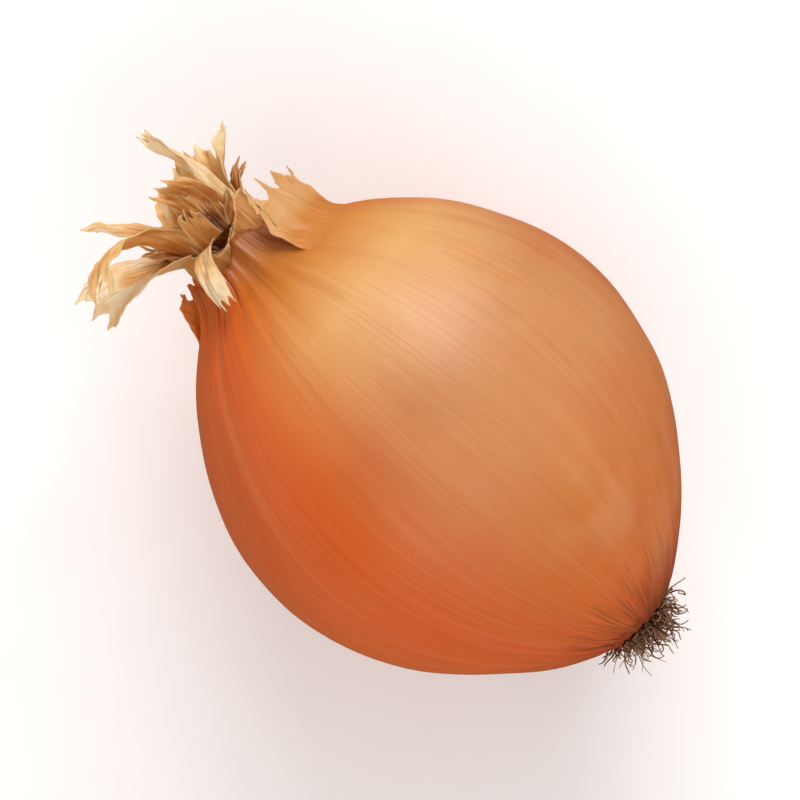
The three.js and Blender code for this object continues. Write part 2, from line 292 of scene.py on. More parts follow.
def skin_finish(name):
    """Cured onion skin with streaks along its veins; loose skin is paler and lets light through."""
    material, tree = new_material(name)
    add = partial(add_node, tree)
    grain = add("ShaderNodeAttribute", out="Vector", attribute_name="grain")
    share, layer, loose, torn, vein = (
        add("ShaderNodeAttribute", out="Fac", attribute_name=key)
        for key in ("share", "layer", "loose", "torn", "vein")
    )
    place = add("ShaderNodeTexCoord", out="Object")
    painted_light_way = (math.cos(PAINTED_LIGHT_BEARING), math.sin(PAINTED_LIGHT_BEARING), 0)
    painted_light_side = add("ShaderNodeVectorMath", {0: grain, 1: painted_light_way}, "Value", operation="DOT_PRODUCT")

    # Patterns along the veins, and freckles and blotches that do not follow them
    hairlines = streaks(tree, grain, HAIRLINE_WIDTH, HAIRLINE_LENGTH)
    broad = streaks(tree, grain, STREAK_WIDTH, STREAK_LENGTH)
    stain = streaks(tree, grain, STAIN_WIDTH, STAIN_LENGTH)
    blotches = streaks(tree, place, BLOTCH_SIZE, BLOTCH_SIZE)
    patches = streaks(tree, grain, PATCH_WIDTH, PATCH_LENGTH)
    puckers = streaks(tree, grain, PUCKER_SIZE, 3 * PUCKER_SIZE)
    spot = add("ShaderNodeTexVoronoi", {"Vector": place, "Scale": 1 / (FRECKLE_SPACING * MM)})
    rare = add("ShaderNodeMapRange", {0: spot.node.outputs["Color"], 1: 0.62, 2: 0.7, 3: 1.0, 4: 0.0})
    freckle = add("ShaderNodeMath", {0: spot, 1: rare}, operation="ADD")
    near_root = add("ShaderNodeMapRange", {0: share, 1: 0.36, 2: 0.0})
    near_neck = add("ShaderNodeMapRange", {0: share, 1: 0.85, 2: 1.0})
    root_stain = add("ShaderNodeMath", {0: stain, 1: near_root}, operation="MULTIPLY")
    neck_stain = add("ShaderNodeMath", {0: stain, 1: near_neck}, operation="MULTIPLY")

    # Ground colour from the roots to the neck, then the coats
    # The pale stops at 0.68 and 0.77, on the shoulder, are partly the skin's colour and partly a
    # painted highlight
    ground = [
        (0, "#862E0C"), (0.05, "#D3550F"), (0.14, "#E06A17"), (0.3, "#D67A38"), (0.45, "#D28B54"),
        (0.6, "#C9864F"), (0.68, "#D4985C"), (0.77, "#DEA866"), (0.88, "#D1842F"), (1, "#AA5F1A"),
    ]
    side = BULB_RADIUS * MM
    colour = glaze(tree, add("ShaderNodeValToRGB", {0: share}, stops=ground), [
        (blotches, 0.5, 0.75, 0.25, "#EBB883"),
        (blotches, 0.48, 0.25, 0.25, "#C8662A"),
        # Painted light and shade: the side at the pale bearing stays pale as if lit, and these two
        # coats turn the rest deep orange as painted shade
        (painted_light_side, 0.97 * side, 0.3 * side, 0.9, "#DA5606"),
        (painted_light_side, 0.4 * side, -0.5 * side, 0.5, "#CE5E0C"),
        (patches, 0.5, 0.72, 0.3, "#D0741C"),
        (patches, 0.46, 0.28, 0.25, "#AC3C0A"),
        (broad, 0.5, 0.75, 0.16, "#BE5A1E"),
        (broad, 0.45, 0.25, 0.12, "#EBB57E"),
        (hairlines, 0.5, 0.7, 0.1, "#B2521C"),
        (hairlines, 0.48, 0.32, 0.08, "#F2C594"),
        (vein, 0.0, 1.0, 0.18, "#AE5020"),
        (freckle, 0.08, 0.03, 0.35, "#8A4420"),
        (near_neck, 0.0, 1.0, 0.45, "#B8621A"),
        (layer, 0.6, 0.4, 0.5, "#B0480F"),
        (root_stain, 0.24, 0.52, 0.6, "#6E2C0E"),
        (neck_stain, 0.3, 0.55, 0.6, "#8A4A1C"),
        (loose, 0.1, 0.9, 0.5, "#D58A38"),
        (loose, 0.75, 1.0, 0.5, "#E6BC82"),
        (torn, 0.0, 1.0, 0.3, "#DDB080"),
    ])
    roughness = add("ShaderNodeMapRange", {0: hairlines, 1: 0.25, 2: 0.75, 3: 0.37, 4: 0.45})
    height = add("ShaderNodeMath", {0: puckers, 1: hairlines}, operation="ADD")
    glow = add("ShaderNodeMapRange", {0: loose, 3: 0.1, 4: 0.4})
    finish_material(tree, colour, roughness, height, SKIN_BUMP * MM, {
        "IOR": 1.46, "Specular IOR Level": 0.6, "Subsurface Weight": glow,
        "Subsurface Radius": (1.0, 0.5, 0.25), "Subsurface Scale": 1.0 * MM,
    })
    return material


skin = skin_finish("cured_onion_skin_satin")
print("Skin finish:", skin.name)

# %% [markdown]
# ## The finish of the dry leaves
# The withered leaf ends are bare fibre with the wax gone, so they are matt, straw-coloured to
# brown, and lined along their length, and their tips are bleached. Wood grain would be too regular
# for them. "strip" holds the place on a leaf in metres, across and along, so the fibres follow
# every bend, and "tone" says how brown a leaf is.

# %% Withered onion leaf, matt
FIBRE_WIDTH = 0.35
FIBRE_LENGTH = 9
LEAF_PATCH = 2.5
LEAF_BUMP = 0.25


def leaf_finish(name):
    """Withered onion leaf, lined with fibres along its length."""
    material, tree = new_material(name)
    add = partial(add_node, tree)
    strip = add("ShaderNodeAttribute", out="Vector", attribute_name="strip")
    tone = add("ShaderNodeAttribute", out="Fac", attribute_name="tone")
    torn = add("ShaderNodeAttribute", out="Fac", attribute_name="torn")
    fibres = streaks(tree, strip, FIBRE_WIDTH, FIBRE_LENGTH)
    patches = streaks(tree, strip, LEAF_PATCH, 2 * LEAF_PATCH)
    shift = add("ShaderNodeMapRange", {0: patches, 1: 0.3, 2: 0.7, 3: -0.2, 4: 0.2})
    shade = add("ShaderNodeMath", {0: tone, 1: shift}, operation="ADD")
    shades = [
        (0, "#F0D8B4"), (0.14, "#E4BC84"), (0.34, "#D89E58"), (0.6, "#BE7B38"), (0.85, "#8A4A1E"),
        (1, "#4A220B"),
    ]
    colour = glaze(tree, add("ShaderNodeValToRGB", {0: shade}, stops=shades), [
        (fibres, 0.5, 0.72, 0.5, "#8A4E1E"),
        (fibres, 0.46, 0.28, 0.4, "#EBCB9A"),
        (torn, 0.0, 1.0, 0.4, "#EBCFA2"),
    ])
    roughness = add("ShaderNodeMapRange", {0: patches, 1: 0.3, 2: 0.7, 3: 0.55, 4: 0.8})
    height = add("ShaderNodeMath", {0: patches, 1: fibres}, operation="ADD")
    finish_material(tree, colour, roughness, height, LEAF_BUMP * MM, {
        "IOR": 1.45, "Subsurface Weight": 0.3,
        "Subsurface Radius": (1.0, 0.6, 0.3), "Subsurface Scale": 0.6 * MM,
    })
    return material


dry_leaf = leaf_finish("withered_onion_leaf_matt")
print("Leaf finish:", dry_leaf.name)

# %% [markdown]
# ## The finish of the roots
# Dry roots are matt and wiry. They are darker where they leave the plate, and paler and dustier at
# their tips, so the colour runs along "reach", the share of the way to the tip. No two roots dried
# alike, and "tone" turns some of them darker.

# %% Dry onion root, matt
DUST_SIZE = 0.8
ROOT_BUMP = 0.08


def root_finish(name):
    """Dry onion root, dark at the plate and paler at the tip."""
    material, tree = new_material(name)
    add = partial(add_node, tree)
    reach = add("ShaderNodeAttribute", out="Fac", attribute_name="reach")
    tone = add("ShaderNodeAttribute", out="Fac", attribute_name="tone")
    dust = streaks(tree, add("ShaderNodeTexCoord", out="Object"), DUST_SIZE, DUST_SIZE)
    shades = [(0, "#2C1409"), (0.3, "#5E331C"), (0.7, "#946A48"), (1, "#BE9A78")]
    colour = glaze(tree, add("ShaderNodeValToRGB", {0: reach}, stops=shades), [
        (tone, 0.45, 1.0, 0.7, "#5F3019"),
        (tone, 0.2, 0.0, 0.5, "#C29B77"),
        (dust, 0.5, 0.7, 0.35, "#CDB292"),
    ])
    roughness = add("ShaderNodeMapRange", {0: dust, 1: 0.3, 2: 0.7, 3: 0.75, 4: 0.92})
    finish_material(tree, colour, roughness, dust, ROOT_BUMP * MM, {"IOR": 1.45})
    return material


dry_root = root_finish("dry_onion_root_matt")
print("Root finish:", dry_root.name)

# %% [markdown]
# ## Running a node tree on a piece
# A Geometry Nodes tree can be tried with a modifier and then kept as a plain mesh. The inputs are
# set by their sockets' identifiers before the piece is evaluated, because names may repeat, and the
# modifier is taken off again.


# %% Grow a piece with a node tree
def new_tree(name, inputs):
    """A geometry tree with named inputs, and the sockets that give them."""
    tree = bpy.data.node_groups.new(name, "GeometryNodeTree")
    for title, kind in {"Geometry": "Geometry", **inputs}.items():
        tree.interface.new_socket(title, in_out="INPUT", socket_type="NodeSocket" + kind)
    tree.interface.new_socket("Geometry", in_out="OUTPUT", socket_type="NodeSocketGeometry")
    return tree, add_node(tree, "NodeGroupInput").node.outputs


def end_tree(tree, geometry, material):
    """Makes instances real and sets the finish, so that the result can be kept as a mesh."""
    real = add_node(tree, "GeometryNodeRealizeInstances", {0: geometry})
    done = add_node(tree, "GeometryNodeSetMaterial", {0: real, "Material": material})
    add_node(tree, "NodeGroupOutput", {0: done})


def grow(piece, tree, values):
    """Runs a tree on a piece with these values, and keeps what it makes as the piece's own mesh."""
    modifier = piece.modifiers.new(tree.name, "NODES")
    modifier.node_group = tree
    for socket in tree.interface.items_tree:
        if socket.in_out == "INPUT" and socket.name in values:
            modifier[socket.identifier] = values[socket.name]
    depsgraph = bpy.context.evaluated_depsgraph_get()
    grown = bpy.data.meshes.new_from_object(
        piece.evaluated_get(depsgraph), preserve_all_data_layers=True, depsgraph=depsgraph
    )
    piece.modifiers.remove(modifier)
    before = piece.data
    piece.data = grown
    bpy.data.meshes.remove(before)
    grown.name = piece.name
    grown.shade_smooth()


def move_points(mesh, rule):
    """Gives every vertex of a mesh its place by a rule from where it is."""
    places = np.empty(3 * len(mesh.vertices), np.float32)
    mesh.vertices.foreach_get("co", places)
    mesh.vertices.foreach_set("co", rule(places.reshape(-1, 3)).astype(np.float32).ravel())
    mesh.update()


print("Tree helpers: new_tree, end_tree, grow, move_points")

# %% [markdown]
# ## The bulb in its skin
# The bulb is one closed surface. Going up from the roots it follows the second skin, turns back
# under the torn edge of the outermost skin, comes round the edge, and then follows the outermost
# skin to the neck and down into the throat. A painted edge would stay flat, but this one really
# stands off, and light and shadow show it. The edge is ragged and has slits, because dry skin
# splits along its veins. Every sixth column of the grid is a vein.

# %% Torn edges of the skin
COLUMNS = 480
COLUMNS_PER_VEIN = 6
SKIN_EDGE = 2.4
SKIN_RAGGED = 0.9
SLIT_COUNT = 16
SLIT_DEPTH = 2.4
SLIT_SEED = 5
COLLAR_SLITS = 9
COLLAR_SLIT_DEPTH = 3
COLLAR_SLIT_SEED = 8
SLIT_SHARES = (0.35, 1)
SLIT_HALF_ANGLES = (0.015, 0.05)
SKIN_TEETH = 130
SKIN_TEETH_SEED = 11
COLLAR_TEETH = 90
COLLAR_TEETH_SEED = 3
TOOTH_HEIGHT = 0.4

wall = smooth_outline(outline, FINE_RINGS)
wall_reach = np.linspace(0, 1, FINE_RINGS + 1)
wall_length = np.linalg.norm(np.diff(wall, axis=0), axis=1).sum()
COLLAR = wall[-1, 0]
MOUTH = COLLAR + NECK_LENGTH


def slits(bearing, count, deepest, seed):
    """Depth of narrow splits at random bearings."""
    chance = np.random.default_rng(seed)
    middles = chance.uniform(-math.pi, math.pi, count)
    shares = chance.uniform(*SLIT_SHARES, count)
    halves = chance.uniform(*SLIT_HALF_ANGLES, count)
    depth = np.zeros_like(bearing)
    for middle, share, half in zip(middles, shares, halves):
        away = np.abs((bearing - middle + math.pi) % (2 * math.pi) - math.pi)
        depth = np.maximum(depth, deepest * share * np.clip(1 - away / half, 0, 1))
    return depth


def skin_edge(bearing):
    """Height of the outermost skin's torn edge: the solid's waves, with teeth and slits."""
    waves = np.sin(3 * bearing + 1) + 0.6 * np.sin(7 * bearing) + 0.4 * np.sin(13 * bearing + 2)
    teeth = TOOTH_HEIGHT * ragged(bearing, SKIN_TEETH, SKIN_TEETH_SEED, 2 * math.pi)
    split = slits(bearing, SLIT_COUNT, SLIT_DEPTH, SLIT_SEED)
    return SKIN_EDGE + SKIN_RAGGED * waves / 2 + teeth + split


def collar_edge(bearing):
    """Height of the skin's torn upper end about the collar: the solid's waves, with teeth and slits."""
    waves = 0.9 * np.sin(4 * bearing + 0.5) + 0.5 * np.sin(9 * bearing)
    teeth = TOOTH_HEIGHT * ragged(bearing, COLLAR_TEETH, COLLAR_TEETH_SEED, 2 * math.pi)
    return waves + teeth - slits(bearing, COLLAR_SLITS, COLLAR_SLIT_DEPTH, COLLAR_SLIT_SEED)


print("Skin", round(wall_length, 1), "mm from root to collar, torn edge with", SLIT_COUNT, "slits")

# %% [markdown]
# ## Rings of the bulb
# Each ring of the grid is one step on the way up, with its bearings, radii and heights. The
# bearings wander a little, because veins are never quite straight. The attributes say how far up a
# point is, which skin it belongs to, and how near it is to a torn edge.

# %% The bulb's grid
UNDER_ROWS = 24
SKIN_ROWS = 158
SKIN_THICKNESS = 0.14
TUCK = 1.6
COLLAR_LIP = 0.25
LIP_DEPTH = 2.5
TORN_WIDTH = 0.3
EDGE_PALENESS = 0.35
WANDER = 0.012
FINE_WANDER = 0.007
COLLAR_START = 0.875
ROW_CROWDING = 1.15
RIDGE_SHARPNESS = 2.5

column = np.arange(COLUMNS)
straight = 2 * math.pi * column / COLUMNS
level = np.ones(COLUMNS)
edge_share = np.interp(skin_edge(straight), wall[:, 0], wall_reach)
tuck_share = edge_share + TUCK / wall_length


def skin_ring(share, relief, layer, torn=0.0):
    """A ring at a share of the way from root to collar: bearing, radius, height, share, layer, tear."""
    share = share * level
    bearing = straight + WANDER * np.sin(5 * straight + 5 * share)
    bearing = bearing + FINE_WANDER * np.sin(11 * straight - 9 * share)
    radius = swollen(bearing, np.interp(share, wall_reach, wall[:, 1]), relief)
    near_collar = np.clip((share - COLLAR_START) / (1 - COLLAR_START), 0, 1) ** 2
    along = np.interp(share, wall_reach, wall[:, 0]) + collar_edge(straight) * near_collar
    return bearing, radius, along, share, layer * level, torn * level


def skin_grain(bearing, reach):
    """Places for patterns on the skin: on a ring round the bulb, and on the way from root to neck."""
    return np.stack([BULB_RADIUS * np.cos(bearing), BULB_RADIUS * np.sin(bearing), reach], axis=-1)


def plain_ring(radius, along, share):
    """A ring inside the dish or the throat."""
    return straight, radius * level, along * level, share * level, share * level, 0 * level


rings = [plain_ring(PLATE_RADIUS + GAP, DISH_FLOOR, 0)]
rings += [skin_ring(step * tuck_share, 0, 0) for step in np.linspace(0, 1, UNDER_ROWS)]
rings.append(skin_ring(tuck_share, SKIN_RELIEF - 2 * SKIN_THICKNESS, 0))
rings.append(skin_ring(edge_share, SKIN_RELIEF - SKIN_THICKNESS, 1, EDGE_PALENESS))
for step in np.linspace(0, 1, SKIN_ROWS) ** ROW_CROWDING:
    past_edge = step * (1 - edge_share)
    paleness = EDGE_PALENESS * np.exp(-past_edge * wall_length / TORN_WIDTH)
    rings.append(skin_ring(edge_share + past_edge, SKIN_RELIEF, 1, paleness))
rim_radius, rim_along = rings[-1][1:3]
rings.append(plain_ring(rim_radius - COLLAR_LIP, rim_along, 1))
rings.append(plain_ring(NECK_RADIUS + 2 * GAP, rim_along - LIP_DEPTH, 1))
rings.append(plain_ring(NECK_RADIUS + GAP, COLLAR - THROAT_DEPTH, 1))

bearing, radius, along, share, layer, torn = (np.array(values) for values in zip(*rings))

# Only the outer faces of the two skins get relief: not the dish, the folded edge, the lip or the throat
outside = np.zeros_like(radius)
outside[1 : UNDER_ROWS + 1] = 1
outside[UNDER_ROWS + 3 : -3] = 1
phase = column % COLUMNS_PER_VEIN / COLUMNS_PER_VEIN
ridge = np.abs(2 * phase - 1) ** RIDGE_SHARPNESS * outside
vein_number = column // COLUMNS_PER_VEIN * np.ones_like(radius)
grain = skin_grain(bearing, share * wall_length)


def with_poles(values, at_root, at_neck):
    """Values of the grid, followed by those of the middle of the dish and of the throat."""
    return np.concatenate([values.reshape(-1, *np.shape(at_root)), [at_root, at_neck]])


points = with_poles(upright(bearing, radius, along), (0, DISH_FLOOR, 0), (0, COLLAR - THROAT_DEPTH, 0))
faces = grid_faces(len(rings), COLUMNS, True)
root_pole = radius.size
last_ring = root_pole - COLUMNS
for here in range(COLUMNS):
    after = (here + 1) % COLUMNS
    faces.append([root_pole, after, here])
    faces.append([root_pole + 1, last_ring + here, last_ring + after])
bulb_skin = make_piece(
    "bulb_skin", lay_down(points), faces, skin,
    grain=with_poles(grain, (0, 0, 0), (0, 0, wall_length)) * MM,
    share=with_poles(share, 0, 1), layer=with_poles(layer, 0, 1), torn=with_poles(torn, 0, 0),
    loose=np.zeros(len(points)), outside=with_poles(outside, 0, 0), ridge=with_poles(ridge, 0, 0),
    vein_number=with_poles(vein_number, 0, 0),
)
print("Bulb:", len(rings), "rings of", COLUMNS, "points")

# %% [markdown]
# ## Veins, gathers and dents by nodes
# A vein is a low ridge where a bundle of fibres lies in the skin. They could be drawn one by one,
# but they all follow one rule, so a node tree raises them: a ridge at each vein column, stronger in
# some than in others, which fades in and out on its way. The same tree gathers the skin in soft
# folds towards the neck, and dents it a little, as a grown bulb is never quite round.


# %% Raise the veins
FADING_WIDTH = 6
FADING_LENGTH = 22
FOLD_WIDTH = 6
FOLD_LENGTH = 80


def vein_tree():
    """A tree that moves the skin out by veins, gathers and dents, and stores where the veins are."""
    tree, given = new_tree("raise_veins", {
        "Vein relief": "Float", "Gather relief": "Float", "Dent relief": "Float", "Dent size": "Float",
        "Seed": "Int", "Finish": "Material",
    })
    add = partial(add_node, tree)
    grain = add("GeometryNodeInputNamedAttribute", {"Name": "grain"}, data_type="FLOAT_VECTOR")
    share, ridge, outside, number = (
        add("GeometryNodeInputNamedAttribute", {"Name": key}, data_type="FLOAT")
        for key in ("share", "ridge", "outside", "vein_number")
    )

    # Each vein has its own strength, and fades in and out along the skin
    luck = {2: 0.2, 3: 1.0, "ID": number, "Seed": given["Seed"]}
    strength = add("FunctionNodeRandomValue", luck, 1, data_type="FLOAT")
    fading = streaks(tree, grain, FADING_WIDTH, FADING_LENGTH)
    fading = add("ShaderNodeMapRange", {0: fading, 1: 0.35, 2: 0.62})
    vein = add("ShaderNodeMath", {0: ridge, 1: strength}, operation="MULTIPLY")
    vein = add("ShaderNodeMath", {0: vein, 1: fading}, operation="MULTIPLY")

    # Folds grow towards the neck, and a little towards the roots
    neck_span = {0: share, 1: 0.72, 2: 1.0}
    root_span = {0: share, 1: 0.2, 2: 0.02, 4: 0.6}
    to_neck = add("ShaderNodeMapRange", neck_span, interpolation_type="SMOOTHSTEP")
    to_root = add("ShaderNodeMapRange", root_span, interpolation_type="SMOOTHSTEP")
    ends = add("ShaderNodeMath", {0: to_neck, 1: to_root}, operation="ADD")
    fold = streaks(tree, grain, FOLD_WIDTH, FOLD_LENGTH, 1.0)
    fold = add("ShaderNodeMath", {0: fold, 1: 0.5}, operation="SUBTRACT")
    fold = add("ShaderNodeMath", {0: fold, 1: ends}, operation="MULTIPLY")

    where = {"Vector": add("GeometryNodeInputPosition"), "Detail": 1.0}
    scale = add("ShaderNodeMath", {0: 1.0, 1: given["Dent size"]}, operation="DIVIDE")
    dent = add("ShaderNodeTexNoise", {**where, "Scale": scale})
    dent = add("ShaderNodeMath", {0: dent, 1: 0.5}, operation="SUBTRACT")

    height = add("ShaderNodeMath", {0: vein, 1: given["Vein relief"]}, operation="MULTIPLY")
    for form, relief in ((fold, "Gather relief"), (dent, "Dent relief")):
        inputs = {0: form, 1: given[relief], 2: height}
        height = add("ShaderNodeMath", inputs, operation="MULTIPLY_ADD")
    height = add("ShaderNodeMath", {0: height, 1: outside}, operation="MULTIPLY")
    outward = {0: add("GeometryNodeInputNormal"), "Scale": height}
    offset = add("ShaderNodeVectorMath", outward, operation="SCALE")
    mark = {0: given["Geometry"], "Name": "vein", "Value": vein}
    marked = add("GeometryNodeStoreNamedAttribute", mark)
    end_tree(tree, add("GeometryNodeSetPosition", {0: marked, "Offset": offset}), given["Finish"])
    return tree


grow(bulb_skin, vein_tree(), {
    "Vein relief": 0.08 * MM, "Gather relief": 1.6 * MM, "Dent relief": 0.9 * MM, "Dent size": 17 * MM,
    "Seed": 4, "Finish": skin,
})
move_points(bulb_skin.data, lambda places: np.maximum(places, (-1, -1, 0)))
stand_for(bulb_skin, "bulb")
print("Bulb skin:", len(bulb_skin.data.polygons), "faces,", COLUMNS // COLUMNS_PER_VEIN, "veins")

# %% [markdown]
# ## The rule of a leaf
# The neck is what is left of the leaves: they were cut or fell, dried, and split into papery strips
# that curl. Each strip follows one rule: it leaves the neck at a bearing with a lean, bends along
# an arc, sways to one side, twists, tapers, curls across, and ends in a torn edge. Fine pleats
# follow its fibres, its sides ruffle, and creases run more or less along it, as in paper that was
# crumpled. A cloth simulation could crumple a strip too, but the rule keeps each one where its
# solid is. The strips are open grids, and a Solidify modifier gives them their paper thickness.

# %% Leaf ends, skin lobes and their rule
LEAF_TEETH = 4.5
FEWEST_TEETH = 5
LEAF_CRINKLE = 0.5
LEAF_THICKNESS = 0.16
PLEATS = 4
PLEAT_RELIEF = 0.16
RUFFLE_LENGTH = 5
RUFFLE_RELIEF = 0.35
CREASES = 9
CREASE_LEAN = math.radians(30)
SHORTEST_CREASE = 1.2
LONGEST_CREASE = 5
LEAF_CREASE_RELIEF = 2.2
LOBE_CREASE_RELIEF = 1.0
TEAR_WIDTH = 0.25
RIP_WAVES = 0.75
RIP_TEETH = 0.4
FRAY = 0.06
FRAY_RUNS = 12
STUB_FOOT = {"radius": NECK_RADIUS - 0.75, "along": MOUTH - 3}
SHOULDER_FOOT = {"radius": 17.9, "along": 68}
LEAF_WORDS = (
    "bearing", "width", "length", "lean", "bend", "sway", "twist", "curl", "taper", "torn", "tone",
)
LEAVES = [dict(zip(LEAF_WORDS, row)) for row in (
    (58, 5, 18, 4, -14, -4, -35, 2, 0.35, 0.14, 0.05),
    (-42, 5.5, 25, 4, 140, -2, 15, 1.2, 0.2, 0.15, 0.4),
    (-82, 8, 17, 46, 50, 1, 70, -1, -0.15, 0.2, 0.12),
    (-20, 3.5, 14, 80, 100, -1, 10, 0.8, 0.4, 0.15, 0.1),
    (20, 6, 13, 8, 40, -5, 0, 1.2, 0.3, 0.2, 0.55),
    (112, 5.5, 14, 10, 62, 1, 20, -0.8, 0.5, 0.2, 0.3),
    (144, 8, 15, 8, 50, 2, -20, 1.2, 0.35, 0.2, 0.45),
    (182, 9, 14, 6, 62, -2, 15, -1, 0.35, 0.2, 0.4),
    (-135, 7, 17, 8, 36, 3, -30, 1.4, 0.4, 0.2, 0.35),
    (-12, 5, 10, 4, 24, 2, 0, 1, 0.3, 0.25, 0.35),
)]
LOBES = [dict(zip(LEAF_WORDS, row)) for row in (
    (61, 20, 17, -50, 55, 1, 0, -1, 0.4, 0.22, 0),
    (140, 18, 14, -52, 40, -2, 0, 1, 0.6, 0.2, 0),
    (210, 20, 15, -52, 45, 1, 0, -1, 0.55, 0.2, 0),
)]


def creased(aside, travelled, seed):
    """Height of a crumpled sheet about its middle: creases more or less along it, from a fixed seed."""
    chance = np.random.default_rng(seed)
    height = 0
    for _ in range(CREASES):
        heading = chance.normal(0, CREASE_LEAN)
        reach = chance.uniform(SHORTEST_CREASE, LONGEST_CREASE)
        place = (aside * math.cos(heading) + travelled * math.sin(heading)) / reach
        height = height + np.abs(np.sin(math.pi * (place + chance.uniform()))) - 2 / math.pi
    return height / CREASES


def leaf_grid(leaf, foot, crease_relief, steps_across, steps_ahead):
    """Upright points of a leaf, their places across and along it, and how near a torn edge they are."""
    across = np.linspace(-1, 1, steps_across)[None, :]
    ahead = np.linspace(0, 1, steps_ahead)[:, None]
    seed = int(leaf["bearing"] + 360)
    teeth = 0.5 * ragged((across + 1) / 2, max(FEWEST_TEETH, int(leaf["width"])), seed) + 0.5
    waves = np.abs(np.sin(LEAF_TEETH * across + leaf["bearing"]))
    rip = leaf["torn"] * (RIP_WAVES * waves + RIP_TEETH * teeth)
    run = ahead * (1 - rip)
    travelled = run * leaf["length"]
    frayed = FRAY * ragged(run, FRAY_RUNS, seed + 1) * run
    half = across * leaf["width"] * (1 - leaf["taper"] * run**2 + frayed) / 2

    # How far the sheet rises from the leaf's middle line: it wraps round the neck, curls and folds
    wrap = -(half**2) * (1 - run) / (2 * foot["radius"])
    crinkle = LEAF_CRINKLE * np.sin(4 * across + 7 * run + leaf["bearing"])
    pleat = np.arcsin(np.sin(math.pi * PLEATS * across + 2 * run + seed)) / (math.pi / 2)
    ruffle = across**4 * np.sin(2 * math.pi * travelled / RUFFLE_LENGTH + 2 * across + seed)
    crumple = crease_relief * creased(half, travelled, seed)
    folds = PLEAT_RELIEF * pleat + RUFFLE_RELIEF * ruffle + crumple
    rise = wrap + run * (leaf["curl"] * across**2 + crinkle + folds)

    # The middle line is an arc in the plane of the bearing, and the cross section turns about it
    lean = math.radians(leaf["lean"])
    bend = math.radians(leaf["bend"])
    turn = lean + bend * run
    twist = math.radians(leaf["twist"]) * run
    arc_radius = leaf["length"] / bend
    off = half * np.sin(twist) + rise * np.cos(twist)
    out = foot["radius"] + arc_radius * (np.cos(lean) - np.cos(turn)) + off * np.cos(turn)
    up = foot["along"] + arc_radius * (np.sin(turn) - np.sin(lean)) - off * np.sin(turn)
    side = half * np.cos(twist) - rise * np.sin(twist) + leaf["sway"] * run**2
    bearing = math.radians(leaf["bearing"])
    x = out * math.sin(bearing) + side * math.cos(bearing)
    z = out * math.cos(bearing) - side * math.sin(bearing)
    to_side = (1 - np.abs(across)) * leaf["width"] / 2
    to_end = (1 - ahead) * leaf["length"] * (1 - rip)
    torn = np.exp(-np.minimum(to_side, to_end) / TEAR_WIDTH)
    return np.stack([x, up, z], axis=-1), half, travelled, torn


def join_sheets(name, sheets, material, closed, thickness, offset):
    """Sheets as one piece of paper thickness, each a grid of points in metres and its attributes."""
    faces = []
    count = 0
    for grid, _ in sheets:
        rows, columns = grid.shape[:2]
        faces += grid_faces(rows, columns, closed, count)
        count += rows * columns
    points = np.vstack([grid.reshape(-1, 3) for grid, _ in sheets])
    attributes = {}
    for key in sheets[0][1]:
        values = [attached[key] for _, attached in sheets]
        attributes[key] = np.concatenate([value.reshape(-1, *value.shape[2:]) for value in values])
    piece = make_piece(name, points, faces, material, **attributes)
    paper = piece.modifiers.new("paper", "SOLIDIFY")
    paper.thickness = thickness * MM
    paper.offset = offset
    return piece


print("Leaf ends:", len(LEAVES), "and skin lobes:", len(LOBES))

# %% [markdown]
# ## Loose lobes of skin
# Near the neck the outermost skin has split, and its lobes peel off the shoulder. A lobe that was
# only stuck on would show its foot as a line. So each one starts just under the skin, pressed to
# the nearest point of the bulb, and goes over into the leaf's rule on its way, as real skin peels
# off at a grazing angle. It has the same grain as the skin below it, and lets more light through.

# %% Skin lobes at the shoulder
LOBE_STEPS = (90, 90)
LOBE_PEEL = 0.7
LOBE_SUNK = 0.12

skin_points = [vertex.co for vertex in bulb_skin.data.vertices]
skin_faces = [polygon.vertices for polygon in bulb_skin.data.polygons]
skin_surface = BVHTree.FromPolygons(skin_points, skin_faces)
shoulder_reach = np.interp(SHOULDER_FOOT["along"], wall[:, 0], wall_reach) * wall_length


def lobe_sheet(lobe):
    """A lobe that peels off the skin, and what its finish reads."""
    points, aside, travelled, torn = leaf_grid(lobe, SHOULDER_FOOT, LOBE_CREASE_RELIEF, *LOBE_STEPS)
    turned = math.radians(lobe["bearing"]) + aside / SHOULDER_FOOT["radius"]
    reach = shoulder_reach + travelled
    on_share = np.clip(reach / wall_length, 0, 1)
    on_radius = swollen(turned, np.interp(on_share, wall_reach, wall[:, 1]), SKIN_RELIEF)
    on_along = np.interp(on_share, wall_reach, wall[:, 0])
    on_wall = lay_down(upright(turned, on_radius, on_along)).reshape(-1, 3)
    nearest = [skin_surface.find_nearest(point)[:2] for point in on_wall]
    on_skin = np.array([place - LOBE_SUNK * MM * outward for place, outward in nearest])
    on_skin = on_skin.reshape(points.shape)
    peeled = np.clip(travelled / lobe["length"] / LOBE_PEEL, 0, 1)
    peeled = peeled**2 * (3 - 2 * peeled)
    grid = on_skin + (lay_down(points) - on_skin) * peeled[..., None]
    return grid, {
        "grain": skin_grain(turned, reach) * MM, "share": reach / wall_length, "torn": torn * peeled,
        "loose": peeled, "layer": np.ones_like(peeled), "vein": np.zeros_like(peeled),
    }


lobe_sheets = [lobe_sheet(lobe) for lobe in LOBES]
skin_lobes = join_sheets("skin_lobes", lobe_sheets, skin, False, LEAF_THICKNESS, 0)
stand_for(skin_lobes, "bulb")
print("Skin lobes:", len(skin_lobes.data.vertices), "points")

# %% [markdown]
# ## The withered neck
# Inside the torn skin the neck is a bundle of dry sheaths, one leaf base in the other, with a dark
# hollow in the middle. A plain tube would look like a pipe, so each sheath is folded and wrinkled
# lengthwise, the inner ones are squashed, and all have a ragged mouth, torn lower on its upper
# side.

